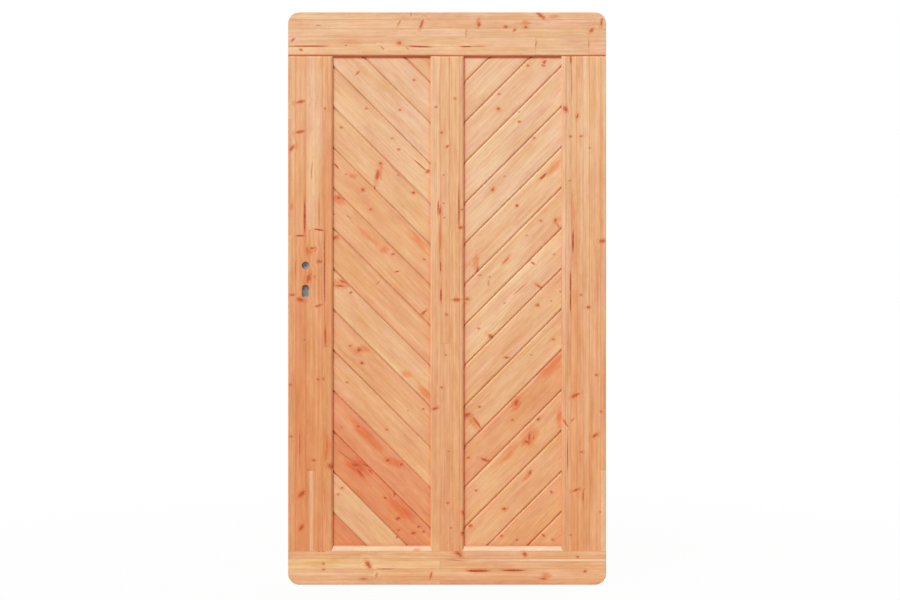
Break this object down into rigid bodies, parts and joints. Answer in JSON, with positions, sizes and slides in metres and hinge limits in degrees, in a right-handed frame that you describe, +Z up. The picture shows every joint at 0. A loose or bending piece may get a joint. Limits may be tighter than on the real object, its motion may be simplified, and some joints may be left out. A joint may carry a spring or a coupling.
{
  "type": "wooden garden gate leaf with diagonal boards",
  "caption": "Rectangular wooden garden gate leaf with rounded outer corners: a grooved frame with a middle stile round two panels of diagonal V-jointed boards, with a mortise lock.",
  "frame": {"origin": "centre of the hinge stile's outer edge face, at mid height and mid thickness of the leaf", "axes": "+X out of the hinge edge, away from the leaf; -Y out of the front; +Z up"},
  "size_m": [1, 0.044, 1.8],
  "materials": {
    "frame_wood": "planed, oiled larch",
    "board_wood": "planed, oiled larch",
    "zinc_plated_steel": "dull zinc plating",
    "bright_steel": "brushed"
  },
  "bodies": {
    "root": {"top_rail": "frame_wood", "bottom_rail": "frame_wood", "lock_stile": "frame_wood", "middle_stile": "frame_wood", "hinge_stile": "frame_wood", "left_board_01": "board_wood", "left_board_02": "board_wood", "left_board_03": "board_wood", "left_board_04": "board_wood", "left_board_05": "board_wood", "left_board_06": "board_wood", "left_board_07": "board_wood", "left_board_08": "board_wood", "left_board_09": "board_wood", "left_board_10": "board_wood", "left_board_11": "board_wood", "left_board_12": "board_wood", "left_board_13": "board_wood", "left_board_14": "board_wood", "left_board_15": "board_wood", "right_board_01": "board_wood", "right_board_02": "board_wood", "right_board_03": "board_wood", "right_board_04": "board_wood", "right_board_05": "board_wood", "right_board_06": "board_wood", "right_board_07": "board_wood", "right_board_08": "board_wood", "right_board_09": "board_wood", "right_board_10": "board_wood", "right_board_11": "board_wood", "right_board_12": "board_wood", "right_board_13": "board_wood", "right_board_14": "board_wood", "right_board_15": "board_wood", "lock_case": "zinc_plated_steel", "lock_follower": "zinc_plated_steel", "cylinder_blank": "zinc_plated_steel", "lock_face_plate": "bright_steel", "latch_bolt": "bright_steel", "dead_bolt": "bright_steel", "blank_screw": "bright_steel", "face_plate_screw_top": "bright_steel", "face_plate_screw_foot": "bright_steel"}
  },
  "joints": []
}
